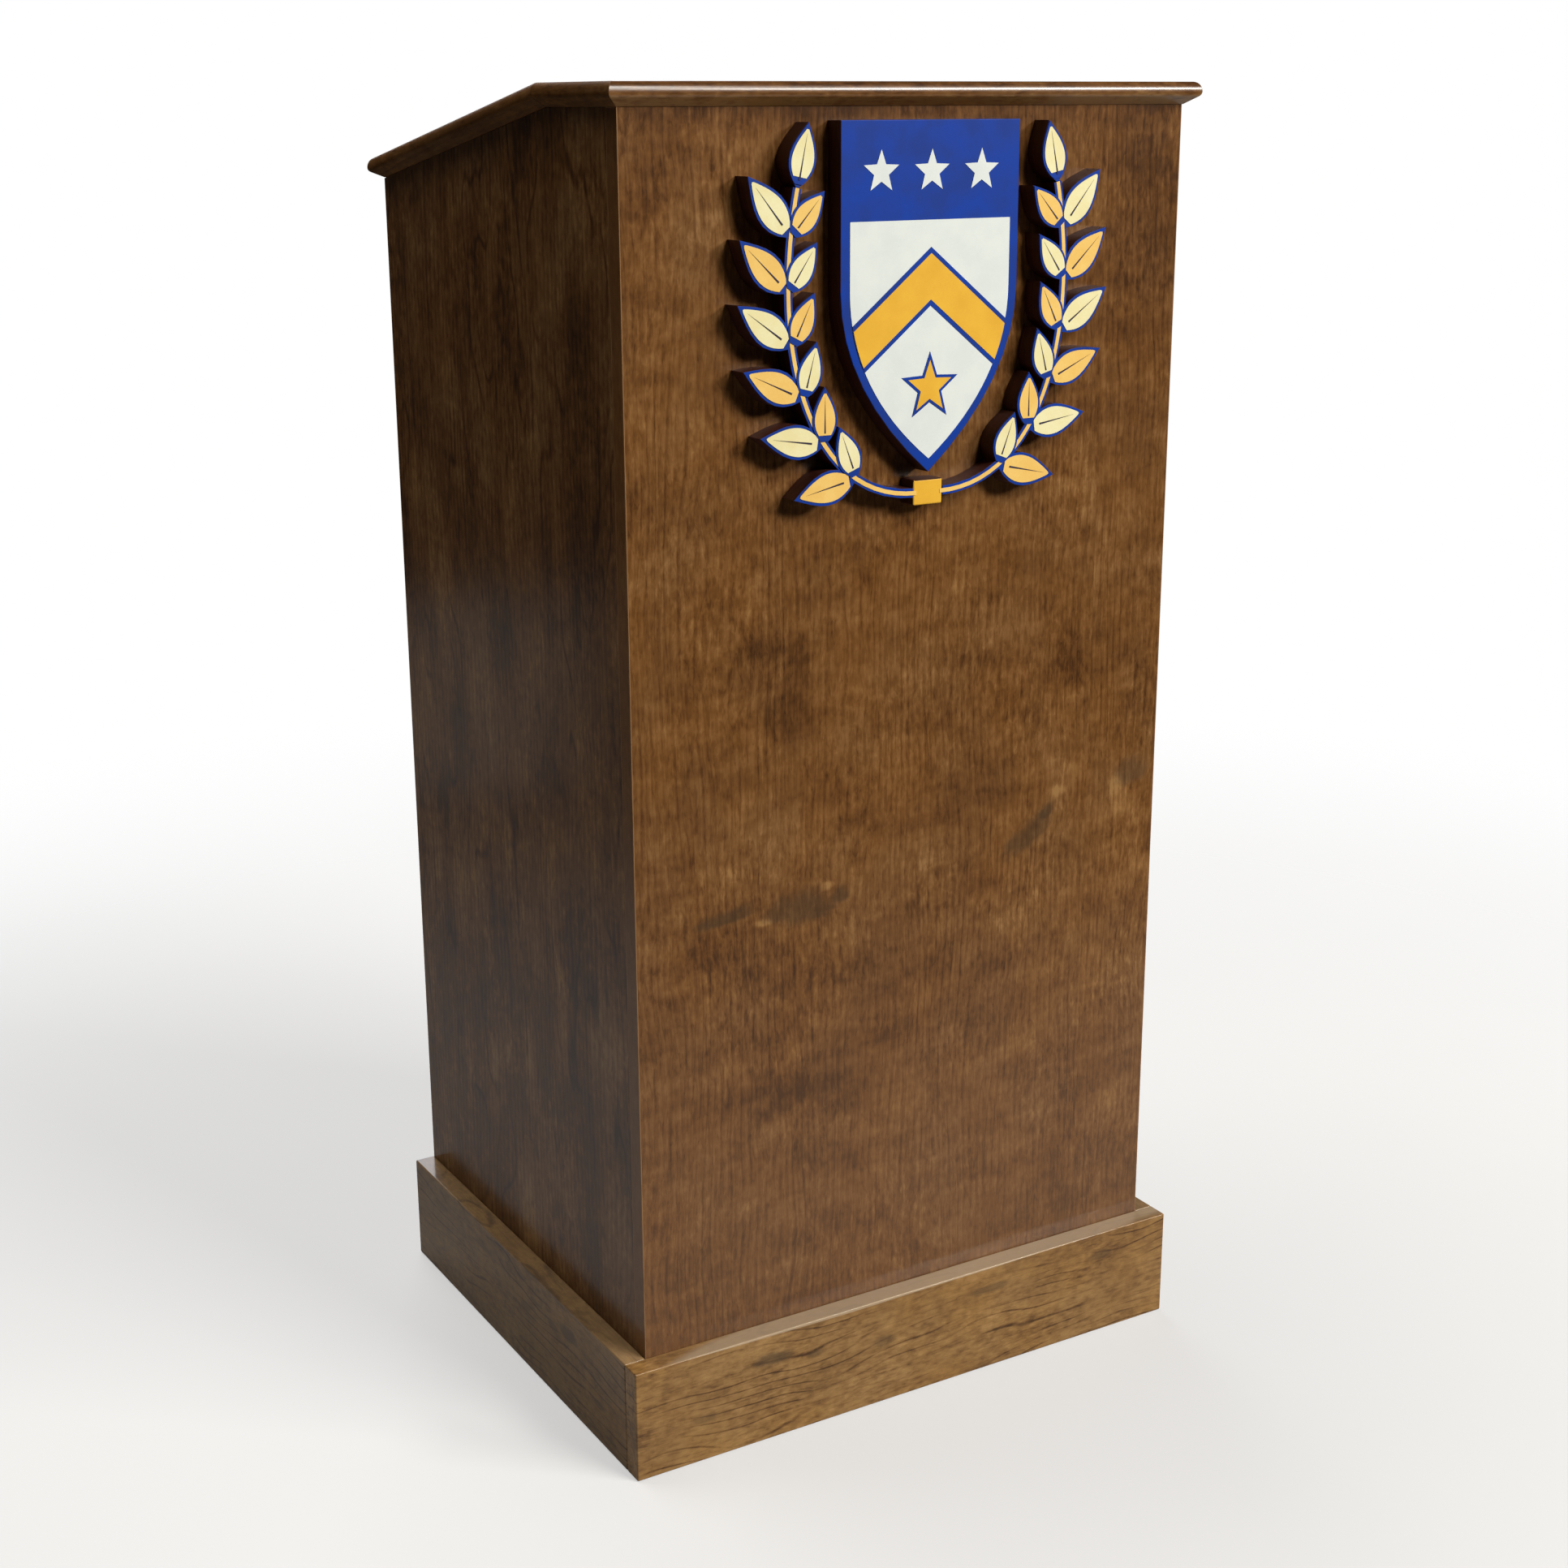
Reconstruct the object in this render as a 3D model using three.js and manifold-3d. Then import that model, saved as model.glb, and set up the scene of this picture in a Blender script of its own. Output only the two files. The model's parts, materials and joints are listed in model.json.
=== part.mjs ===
// Presentation lectern: a veneered board carcass on a plinth, open toward the speaker, with a level
// board and a sloped reading desk on top, and a cut-out emblem on the front panel.
//
// Millimetres, +Z up. The origin is on the floor under the middle of the whole lectern. -Y faces the
// audience, +Y faces the speaker, and the lectern is the same on both sides of the plane X = 0.

import * as THREE from 'three';
import { mergeVertices } from 'three/addons/utils/BufferGeometryUtils.js';
import Module from 'manifold-3d';

const wasm = await Module();
wasm.setup();

// Driving dimensions
const width = 560;             // across the front panel
const depth = 490;             // outer face of the front panel to the rear edges of the sides
const height = 1206;           // floor to the level top
const board = 19;              // veneered board thickness
const plinthHeight = 108;
const plinthBoard = 21;        // thickness of the plinth boards
const overhang = 12.5;         // of the top past the front panel and the sides
const rearOverhang = 11;       // of the reading desk past the sides
const levelDepth = 128;        // front panel to the crease where the desk starts to slope
const slope = THREE.MathUtils.degToRad(10);
const shelfTop = 880;          // upper face of the fixed shelf
const looseShelfTop = 500;     // upper face of the loose shelf
const shelfGroove = 6;         // depth of the fixed shelf's grooves in the sides
const lipping = 6;             // solid strips on the speaker's edges of the horizontal boards
const veneer = 1;              // edge bands on the upright boards
const batten = 20;             // section of the battens and cleats
const nosing = 20;             // width of the round-nosed strips around the top boards
const glueLine = 0.1;          // between the strips and the board that they surround
const gap = 0.3;               // between pieces that are cut to each other or fitted at an angle
const emblemThickness = 20;

// Planes that the pieces share
const plinthFace = -(plinthBoard + depth + rearOverhang) / 2;
const panelFace = plinthFace + plinthBoard;
const panelBack = panelFace + board;
const sideRear = panelFace + depth;
const deskRear = sideRear + rearOverhang;
const crease = panelFace + levelDepth;
const sideOuter = width / 2;
const sideInner = sideOuter - board;
const topHalfWidth = sideOuter + overhang;
const topUnderside = height - board;
const undersideCrease = crease - board * Math.tan(slope / 2);
const bandedRear = sideRear - veneer;
const lippingFront = bandedRear - lipping;

// Height of the desk's underside above the floor, at distance y
const deskUnderside = (y) => topUnderside - (y - undersideCrease) * Math.tan(slope);

// Colours, roughness and metalness
const finishes = {
  panel: ['#6f4b2c', 0.4, 0],
  top: ['#6a3d22', 0.35, 0],
  plinth: ['#84613c', 0.45, 0],
  edge: ['#8d6a45', 0.5, 0],
  carcass: ['#5d3f28', 0.5, 0],
  batten: ['#a5845a', 0.7, 0],
  dowel: ['#c9a877', 0.8, 0],
  emblem: ['#123a94', 0.4, 0],
  tie: ['#eebb4a', 0.4, 0],
  screw: ['#b9a36a', 0.3, 1],
};

function material(name) {
  const [color, roughness, metalness] = finishes[name];
  return new THREE.MeshStandardMaterial({ color, roughness, metalness });
}

const sides = { left: -1, right: 1 };
const span = (side, a, b) => [side * a, side * b].sort((p, q) => p - q);

const lectern = new THREE.Group();

function addGroup(parent) {
  const group = new THREE.Group();
  parent.add(group);
  return group;
}

function add(parent, name, finish, geometry) {
  const mesh = new THREE.Mesh(geometry, material(finish));
  mesh.name = name;
  parent.add(mesh);
  return mesh;
}

// Geometry to solid and back, for cuts and joins
function solid(geometry) {
  const bare = geometry.clone();
  bare.deleteAttribute('normal');
  bare.deleteAttribute('uv');
  const merged = mergeVertices(bare, 1e-4);
  return new wasm.Manifold(new wasm.Mesh({
    numProp: 3,
    vertProperties: new Float32Array(merged.attributes.position.array),
    triVerts: new Uint32Array(merged.index.array),
  }));
}

function geometryOf(body) {
  const mesh = body.getMesh();
  const geometry = new THREE.BufferGeometry();
  geometry.setAttribute('position', new THREE.BufferAttribute(mesh.vertProperties, 3));
  geometry.setIndex(new THREE.BufferAttribute(mesh.triVerts, 1));
  geometry.computeVertexNormals();
  return geometry;
}

function cut(geometry, tools) {
  return geometryOf(tools.reduce((body, tool) => body.subtract(solid(tool)), solid(geometry)));
}

function joined(geometries) {
  return geometries.map(solid).reduce((body, other) => body.add(other));
}

// Box between two corners
function box([x0, x1], [y0, y1], [z0, z1]) {
  const geometry = new THREE.BoxGeometry(x1 - x0, y1 - y0, z1 - z0);
  return geometry.translate((x0 + x1) / 2, (y0 + y1) / 2, (z0 + z1) / 2);
}

// Outline in two of the axes, pushed along the third
const axes = {
  x: [new THREE.Vector3(0, 1, 0), new THREE.Vector3(0, 0, 1), new THREE.Vector3(1, 0, 0)],
  y: [new THREE.Vector3(1, 0, 0), new THREE.Vector3(0, 0, 1), new THREE.Vector3(0, -1, 0)],
  z: [new THREE.Vector3(1, 0, 0), new THREE.Vector3(0, 1, 0), new THREE.Vector3(0, 0, 1)],
};

function prism(shape, axis, start, end) {
  const geometry = new THREE.ExtrudeGeometry(shape, {
    depth: end - start,
    bevelEnabled: false,
    curveSegments: 8,
  });
  geometry.applyMatrix4(new THREE.Matrix4().makeBasis(...axes[axis]));
  const begin = axis === 'y' ? end : start;
  const shift = new THREE.Vector3();
  shift[axis] = begin;
  return geometry.translate(shift.x, shift.y, shift.z);
}

function outline(points) {
  return new THREE.Shape(points.map(([u, v]) => new THREE.Vector2(u, v)));
}

// Nose of the top boards, from the upper face to the lower one. Each point is its distance in from
// the tip and its height. The nose is rounded over above the tip, has a smaller round below it, and
// is then cut back at a slant.
function noseProfile() {
  const run = 6;
  const drop = 8.4;
  const round = 5;
  const slant = THREE.MathUtils.degToRad(34);
  const steps = 7;
  const points = [];
  for (let i = 0; i <= steps; i += 1) {
    const angle = (Math.PI / 2) * (i / steps);
    points.push([run * (1 - Math.sin(angle)), -drop * (1 - Math.cos(angle))]);
  }
  for (let i = 1; i <= steps; i += 1) {
    const angle = (Math.PI / 2 - slant) * (i / steps);
    points.push([round * (1 - Math.cos(angle)), -drop - round * Math.sin(angle)]);
  }
  const [inward, low] = points[points.length - 1];
  points.push([inward + (board + low) / Math.tan(slant), -board]);
  return points;
}

// Section of a board with its upper face at zero. An end is { at, nose: true } for a nose, or
// { at, under } for a straight cut from the upper face at one to the lower at the other.
function boardSection(start, end) {
  const nose = (tip, side) => {
    const points = noseProfile().map(([inward, z]) => [tip - side * inward, z]);
    return side > 0 ? points : points.reverse();
  };
  const straight = ({ at, under }, side) => (
    side > 0 ? [[at, 0], [under, -board]] : [[under, -board], [at, 0]]
  );
  const points = (place, side) => (place.nose ? nose(place.at, side) : straight(place, side));
  return outline([...points(end, 1), ...points(start, -1)]);
}

// A top board with noses along both sides and along one end, in pieces: the flat field, a strip
// along the nosed end and one along each side, mitred to each other at the two corners. The section
// runs from front to back, and inward is the direction from the nosed end to the other one.
function topBoardPieces(section, nosedEnd, otherEnd) {
  const half = topHalfWidth;
  const inward = Math.sign(otherEnd - nosedEnd);
  const across = boardSection({ at: -half, nose: true }, { at: half, nose: true });
  const long = prism(section, 'x', -half, half);
  const wide = prism(across, 'y', ...[nosedEnd, otherEnd].sort((a, b) => a - b));
  const slab = solid(long).intersect(solid(wide));
  const past = otherEnd + inward * board;
  const inner = half - nosing;
  const innerEnd = nosedEnd + inward * nosing;
  const pieceWithin = (points) => (
    geometryOf(slab.intersect(solid(prism(outline(points), 'z', -board - 1, 1))))
  );
  const sideStrip = (side) => pieceWithin([
    [side * half, nosedEnd],
    [side * inner, innerEnd],
    [side * inner, past],
    [side * half, past],
  ]);
  const fieldHalf = inner - glueLine;
  const fieldEnd = innerEnd + inward * glueLine;
  return {
    field: pieceWithin([
      [-fieldHalf, fieldEnd],
      [fieldHalf, fieldEnd],
      [fieldHalf, past],
      [-fieldHalf, past],
    ]),
    end: pieceWithin([
      [glueLine - half, nosedEnd],
      [half - glueLine, nosedEnd],
      [inner - glueLine, innerEnd],
      [glueLine - inner, innerEnd],
    ]),
    left: sideStrip(sides.left),
    right: sideStrip(sides.right),
  };
}

// Countersunk wood screw, or with a clearance the hole for one. The head's face is at zero and the
// point at +Y; screwAt turns it to its direction and moves it.
const screwSize = { length: 31, head: 3.8, rim: 0.5, countersink: 3, shank: 1.8, point: 4, sides: 8 };

function screwGeometry(clearance) {
  const { length, rim, countersink, point, sides: segments } = screwSize;
  const head = screwSize.head + clearance;
  const shank = screwSize.shank + clearance;
  const profile = [
    [0, -clearance],
    [head, -clearance],
    [head, rim],
    [shank, countersink + clearance],
    [shank, length - point],
    [0, length + clearance],
  ];
  return new THREE.LatheGeometry(profile.map(([r, y]) => new THREE.Vector2(r, y)), segments);
}

const towards = {
  '+z': new THREE.Matrix4().makeRotationX(Math.PI / 2),
  '-y': new THREE.Matrix4().makeRotationX(Math.PI),
  '+x': new THREE.Matrix4().makeRotationZ(-Math.PI / 2),
  '-x': new THREE.Matrix4().makeRotationZ(Math.PI / 2),
};

function screwAt(direction, [x, y, z], clearance = 0) {
  return screwGeometry(clearance).applyMatrix4(towards[direction]).translate(x, y, z);
}

// A row of screws: adds them to a group and returns the holes to cut for them
function screws(parent, name, direction, places) {
  places.forEach((place, i) => {
    add(parent, `${name}_${i + 1}`, 'screw', screwAt(direction, place));
  });
  return places.map((place) => screwAt(direction, place, gap));
}

const dowelHeights = [180, 600, 1050];

function dowel(side, z, clearance) {
  const radius = 4 + clearance;
  const length = 32 + 2 * clearance;
  const middle = panelBack + 5;
  const cylinder = new THREE.CylinderGeometry(radius, radius, length, 10);
  return cylinder.translate(side * (sideOuter - board / 2), middle, z);
}

// Side panel with its dowels and the bands on the front panel's edge and on its own rear edge
function addSide(carcass, label, side) {
  const plan = outline([
    [panelBack, 0],
    [bandedRear, 0],
    [bandedRear, deskUnderside(bandedRear) - gap],
    [undersideCrease, topUnderside - gap],
    [panelBack, topUnderside - gap],
  ]);
  const thickness = span(side, sideInner, sideOuter);
  const groove = box(
    span(side, sideInner - 1, sideInner + shelfGroove + gap),
    [panelBack - 1, bandedRear + 1],
    [shelfTop - board - gap, shelfTop + gap],
  );
  add(carcass, `side_panel_${label}`, 'panel', cut(prism(plan, 'x', ...thickness), [
    groove,
    ...dowelHeights.map((z) => dowel(side, z, gap)),
    ...battenScrewHoles(side),
  ]));
  dowelHeights.forEach((z, i) => {
    add(carcass, `front_dowel_${label}_${i + 1}`, 'dowel', dowel(side, z, 0));
  });
  add(carcass, `front_edge_band_${label}`, 'edge', box(
    span(side, sideOuter - veneer, sideOuter), [panelFace, panelBack], [0, topUnderside],
  ));
  const bandPlan = outline([
    [bandedRear, 0],
    [sideRear, 0],
    [sideRear, deskUnderside(sideRear) - gap],
    [bandedRear, deskUnderside(bandedRear) - gap],
  ]);
  add(carcass, `rear_edge_band_${label}`, 'edge', prism(bandPlan, 'x', ...thickness));
}

// Carcass: front panel, two sides dowelled to its back, the fixed shelf and a rail between them
function addCarcass() {
  const carcass = addGroup(lectern);
  const emblemPlaces = Object.values(emblemScrews).flat().map(emblemScrewPlace);
  const panelHoles = screws(carcass, 'emblem_screw', '-y', emblemPlaces);
  for (const [label, side] of Object.entries(sides)) {
    panelHoles.push(...dowelHeights.map((z) => dowel(side, z, gap)));
    addSide(carcass, label, side);
  }

  const panelHalf = sideOuter - veneer;
  const frontBlank = box([-panelHalf, panelHalf], [panelFace, panelBack], [0, topUnderside]);
  add(carcass, 'front_panel', 'panel', cut(frontBlank, panelHoles));

  const shelfHalf = sideInner + shelfGroove;
  add(carcass, 'fixed_shelf', 'carcass', box(
    [-shelfHalf, shelfHalf], [panelBack, lippingFront], [shelfTop - board, shelfTop],
  ));
  add(carcass, 'fixed_shelf_lipping', 'edge', box(
    [-sideInner, sideInner], [lippingFront, bandedRear], [shelfTop - board, shelfTop],
  ));

  const railDepth = 62;
  const railFront = bandedRear - board;
  const railFoot = deskUnderside(bandedRear) - railDepth;
  const railPlan = outline([
    [railFront, railFoot],
    [bandedRear, railFoot],
    [bandedRear, deskUnderside(bandedRear) - gap],
    [railFront, deskUnderside(railFront) - gap],
  ]);
  add(carcass, 'top_rail', 'carcass', prism(railPlan, 'x', -sideInner, sideInner));
}

// Plinth boards. The front one runs the whole width and covers the front ends of the other two.
function addPlinth() {
  const plinth = addGroup(lectern);
  const outer = sideOuter + plinthBoard;
  add(plinth, 'plinth_front', 'plinth', box(
    [-outer, outer], [plinthFace, panelFace], [0, plinthHeight],
  ));
  for (const [label, side] of Object.entries(sides)) {
    add(plinth, `plinth_${label}`, 'plinth', box(
      span(side, sideOuter, outer), [panelFace, sideRear], [0, plinthHeight],
    ));
  }
}

// Bottom board level with the plinth's top, on two cleats and a set-back kick board
function addBase() {
  const base = addGroup(lectern);
  const underside = plinthHeight - board;
  const kickSetBack = 25;
  const kickRear = bandedRear - kickSetBack;
  add(base, 'bottom_panel', 'carcass', box(
    [-sideInner, sideInner], [panelBack, lippingFront], [underside, plinthHeight],
  ));
  add(base, 'bottom_lipping', 'edge', box(
    [-sideInner, sideInner], [lippingFront, bandedRear], [underside, plinthHeight],
  ));
  add(base, 'kick_board', 'carcass', box(
    [-sideInner, sideInner], [kickRear - board, kickRear], [0, underside],
  ));
  for (const [label, side] of Object.entries(sides)) {
    add(base, `bottom_cleat_${label}`, 'batten', box(
      span(side, sideInner - batten, sideInner),
      [panelBack, kickRear - board],
      [underside - batten, underside],
    ));
  }
}

// Loose shelf lying on two battens, and the battens' screws
const battenPlaces = [panelBack + 70, lippingFront - 70];
const battenTop = looseShelfTop - board;
const battenScrewFace = sideInner - batten;

function battenScrewPlaces(side) {
  return battenPlaces.map((y) => [side * battenScrewFace, y, battenTop - batten / 2]);
}

function battenScrewHoles(side) {
  return battenScrewPlaces(side).map((place) => screwAt(side > 0 ? '+x' : '-x', place, gap));
}

function addLooseShelf() {
  const group = addGroup(lectern);
  const sideClearance = 2;
  const half = sideInner - sideClearance;
  const front = panelBack + sideClearance;
  add(group, 'loose_shelf', 'carcass', box(
    [-half, half], [front, lippingFront - sideClearance], [battenTop, looseShelfTop],
  ));
  add(group, 'loose_shelf_lipping', 'edge', box(
    [-half, half],
    [lippingFront - sideClearance, bandedRear - sideClearance],
    [battenTop, looseShelfTop],
  ));
  for (const [label, side] of Object.entries(sides)) {
    const direction = side > 0 ? '+x' : '-x';
    const holes = screws(group, `batten_screw_${label}`, direction, battenScrewPlaces(side));
    const blank = box(
      span(side, sideInner - batten, sideInner),
      [panelBack, lippingFront - batten / 2],
      [battenTop - batten, battenTop],
    );
    add(group, `shelf_batten_${label}`, 'batten', cut(blank, holes));
  }
}

// Level board, its nosing strips along the front and both sides, and its cleat
function addLevelTop() {
  const level = addGroup(lectern);
  const cleatHalf = sideInner - 2 * batten;
  const places = [-cleatHalf * 0.7, cleatHalf * 0.7].map((x) => (
    [x, panelBack + batten / 2, topUnderside - batten]
  ));
  const holes = screws(level, 'level_cleat_screw', '+z', places);
  const front = panelFace - overhang;
  const section = boardSection({ at: front, nose: true }, { at: crease, under: undersideCrease });
  const pieces = topBoardPieces(section, front, crease);
  const raised = (geometry) => geometry.translate(0, 0, height);
  add(level, 'level_top', 'top', cut(raised(pieces.field), holes));
  add(level, 'level_nosing_front', 'top', raised(pieces.end));
  add(level, 'level_nosing_left', 'top', raised(pieces.left));
  add(level, 'level_nosing_right', 'top', raised(pieces.right));
  const cleat = box(
    [-cleatHalf, cleatHalf],
    [panelBack, panelBack + batten],
    [topUnderside - batten, topUnderside],
  );
  add(level, 'level_cleat', 'batten', cut(cleat, holes));
}

// Reading desk, its nosing strips, book stop and cleats, in a group turned about the crease. Inside
// the group y runs down the slope from the crease, and z stands square to the desk and is zero on
// its upper face.
function addDesk() {
  const desk = addGroup(lectern);
  desk.position.set(0, crease, height);
  desk.rotation.x = -slope;
  const reach = deskRear - crease;
  const tipReach = noseProfile().map(([inward, z]) => z * Math.sin(slope) - inward * Math.cos(slope));
  const length = (reach - Math.max(...tipReach)) / Math.cos(slope);
  const mitre = board * Math.tan(slope / 2);
  const section = boardSection({ at: gap, under: gap + mitre }, { at: length, nose: true });
  const pieces = topBoardPieces(section, length, gap);

  const cleatTop = -board - 2 * gap;
  const cleatX = sideInner - gap - batten / 2;
  const cleatStart = 30;
  const cleatEnd = length - 100;
  const screwInset = 50;
  const screwRows = [cleatStart + screwInset, cleatEnd - screwInset];
  const holes = [];
  for (const [label, side] of Object.entries(sides)) {
    const places = screwRows.map((y) => [side * cleatX, y, cleatTop - batten]);
    const own = screws(desk, `desk_cleat_screw_${label}`, '+z', places);
    const blank = box(
      span(side, cleatX - batten / 2, cleatX + batten / 2),
      [cleatStart, cleatEnd],
      [cleatTop - batten, cleatTop],
    );
    add(desk, `desk_cleat_${label}`, 'batten', cut(blank, own));
    holes.push(...own);
  }
  add(desk, 'reading_desk', 'top', cut(pieces.field, holes));
  add(desk, 'desk_nosing_rear', 'top', pieces.end);
  add(desk, 'desk_nosing_left', 'top', pieces.left);
  add(desk, 'desk_nosing_right', 'top', pieces.right);

  const stopHalf = 250;
  const stopHeight = 12;
  const stopRear = length - nosing - 1;
  const stopFront = stopRear - 12;
  const round = 4;
  const shoulder = stopHeight - round;
  const stop = new THREE.Shape();
  stop.moveTo(stopFront, gap);
  stop.lineTo(stopRear, gap);
  stop.lineTo(stopRear, shoulder);
  stop.absarc(stopRear - round, shoulder, round, 0, Math.PI / 2);
  stop.lineTo(stopFront + round, stopHeight);
  stop.absarc(stopFront + round, shoulder, round, Math.PI / 2, Math.PI);
  stop.closePath();
  add(desk, 'book_stop', 'top', prism(stop, 'x', -stopHalf, stopHalf));
}

// Emblem: a plain shield between two laurel branches, cut from thick board and screwed on from
// inside the front panel
const emblemFace = panelFace - emblemThickness;
const emblemSlab = [emblemFace, panelFace];
const shieldHalf = 89;
const shieldTop = 1176;
const shieldStraight = 1040;   // where the sides start to curve in
const shieldTip = 886;
const stemHalf = 4;
// Middle line of the right branch's stem, from the tie up beside the shield
const stem = new THREE.CubicBezierCurve(
  new THREE.Vector2(12, 869),
  new THREE.Vector2(112, 868),
  new THREE.Vector2(160, 985),
  new THREE.Vector2(130, 1124),
);
const stemScrew = stem.getPointAt(0.7);
const emblemScrews = {
  shield: [[0, 1120], [0, 960]],
  left: [[-stemScrew.x, stemScrew.y]],
  right: [[stemScrew.x, stemScrew.y]],
};

const emblemScrewPlace = ([x, z]) => [x, panelBack, z];

function emblemHoles(name) {
  return emblemScrews[name].map((place) => screwAt('-y', emblemScrewPlace(place), gap));
}

function shieldOutline(margin) {
  const half = shieldHalf + margin;
  const belly = shieldStraight - 80;
  const shape = new THREE.Shape();
  shape.moveTo(-half, shieldTop + margin);
  shape.lineTo(-half, shieldStraight);
  shape.quadraticCurveTo(-half, belly, 0, shieldTip - margin);
  shape.quadraticCurveTo(half, belly, half, shieldStraight);
  shape.lineTo(half, shieldTop + margin);
  shape.closePath();
  return shape;
}

// Points around a leaf that grows from the stem at u, turned from the stem by lean; it is broadest
// a little before its middle
function leafPoints(u, { lean, length, breadth }) {
  const along = stem.getTangentAt(u).rotateAround(new THREE.Vector2(), lean);
  const across = new THREE.Vector2(-along.y, along.x);
  const at = (t, reach) => stem.getPointAt(u)
    .addScaledVector(along, t * length)
    .addScaledVector(across, reach);
  const steps = 8;
  const edge = (side) => Array.from({ length: steps - 1 }, (_, i) => {
    const t = (i + 1) / steps;
    return at(t, (side * breadth * Math.sin(Math.PI * t ** 0.8)) / 2);
  });
  return [at(0, -1), ...edge(-1), at(1, 0), ...edge(1).reverse(), at(0, 1)];
}

function stemPoints() {
  const steps = 20;
  const edge = (side) => Array.from({ length: steps + 1 }, (_, i) => {
    const along = stem.getTangentAt(i / steps);
    const across = new THREE.Vector2(-along.y, along.x);
    return stem.getPointAt(i / steps).addScaledVector(across, side * stemHalf);
  });
  return [...edge(-1), ...edge(1).reverse()];
}

function branchGeometry(side) {
  const leafPairs = 6;
  const firstPair = 0.2;
  const lastPair = 0.88;
  const outerLeaf = { lean: -0.8, length: 62, breadth: 29 };
  const innerLeaf = { lean: 0.62, length: 48, breadth: 25 };
  const endLeaf = { lean: 0, length: 52, breadth: 26 };
  const outlines = [stemPoints(), leafPoints(1, endLeaf)];
  for (let i = 0; i < leafPairs; i += 1) {
    const u = THREE.MathUtils.lerp(firstPair, lastPair, i / (leafPairs - 1));
    outlines.push(leafPoints(u, outerLeaf), leafPoints(u, innerLeaf));
  }
  const slabs = outlines.map((points) => (
    prism(outline(points.map(({ x, y }) => [side * x, y])), 'y', ...emblemSlab)
  ));
  return geometryOf(joined(slabs));
}

function addEmblem() {
  const emblem = addGroup(lectern);
  add(emblem, 'emblem_shield', 'emblem',
    cut(prism(shieldOutline(0), 'y', ...emblemSlab), emblemHoles('shield')));

  const shieldClearance = 4;
  const tieHalf = 15;
  const tieHeights = [858, 880];
  const past = [emblemFace - 1, panelFace + 1];
  const shieldZone = prism(shieldOutline(shieldClearance), 'y', ...past);
  const tieZone = box([-tieHalf - gap, tieHalf + gap], past, [shieldTip - 60, shieldTip]);
  for (const [label, side] of Object.entries(sides)) {
    add(emblem, `laurel_${label}`, 'emblem',
      cut(branchGeometry(side), [shieldZone, tieZone, ...emblemHoles(label)]));
  }
  add(emblem, 'laurel_tie', 'tie', box([-tieHalf, tieHalf], emblemSlab, tieHeights));
}

addCarcass();
addPlinth();
addBase();
addLooseShelf();
addLevelTop();
addDesk();
addEmblem();

export default lectern;
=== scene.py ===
"""Presentation lectern: a veneered cabinet with a level and a sloped top, a plinth, open shelves
behind and a painted emblem in front. Metres, +Z up, front towards -Y."""

import json
import math

import bmesh
import bpy
from mathutils import Matrix, Vector


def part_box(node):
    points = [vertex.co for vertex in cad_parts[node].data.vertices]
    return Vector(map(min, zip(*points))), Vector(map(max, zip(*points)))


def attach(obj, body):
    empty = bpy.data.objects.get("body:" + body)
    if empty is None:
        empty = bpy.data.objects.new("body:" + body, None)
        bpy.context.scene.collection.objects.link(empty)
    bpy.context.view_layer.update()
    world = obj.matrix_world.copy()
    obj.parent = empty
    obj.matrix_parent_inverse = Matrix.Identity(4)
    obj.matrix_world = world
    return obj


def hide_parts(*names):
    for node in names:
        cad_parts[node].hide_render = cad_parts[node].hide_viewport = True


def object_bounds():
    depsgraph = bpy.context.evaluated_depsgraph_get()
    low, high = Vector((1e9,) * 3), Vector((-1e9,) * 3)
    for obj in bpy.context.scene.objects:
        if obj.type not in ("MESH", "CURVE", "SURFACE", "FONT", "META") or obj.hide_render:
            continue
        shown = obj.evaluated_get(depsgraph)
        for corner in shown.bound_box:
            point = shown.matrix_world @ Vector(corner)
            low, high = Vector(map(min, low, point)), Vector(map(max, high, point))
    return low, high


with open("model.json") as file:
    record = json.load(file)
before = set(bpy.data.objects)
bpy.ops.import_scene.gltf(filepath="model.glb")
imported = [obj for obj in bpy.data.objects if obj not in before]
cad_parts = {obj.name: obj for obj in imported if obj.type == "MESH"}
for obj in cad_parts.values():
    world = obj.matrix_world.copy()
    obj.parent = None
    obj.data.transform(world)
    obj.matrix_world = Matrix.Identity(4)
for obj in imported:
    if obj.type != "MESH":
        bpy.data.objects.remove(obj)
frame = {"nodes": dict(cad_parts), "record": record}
cad_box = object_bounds()

MM = 0.001
SLOPE = math.radians(10)  # of the reading desk
BODY = "lectern"
SHELF_BODY = "loose_shelf"
SLOTS = {entry["node"]: entry["material_slot"] for entry in frame["record"]["subparts"]}


def srgb(red, green, blue):
    """A linear colour from the 0 to 255 values that a colour picker shows."""

    def linear(value):
        share = value / 255
        return share / 12.92 if share <= 0.04045 else ((share + 0.055) / 1.055) ** 2.4

    return (linear(red), linear(green), linear(blue), 1.0)


# Camera, lights and floor ------------------------------------------------------------------------


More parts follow.
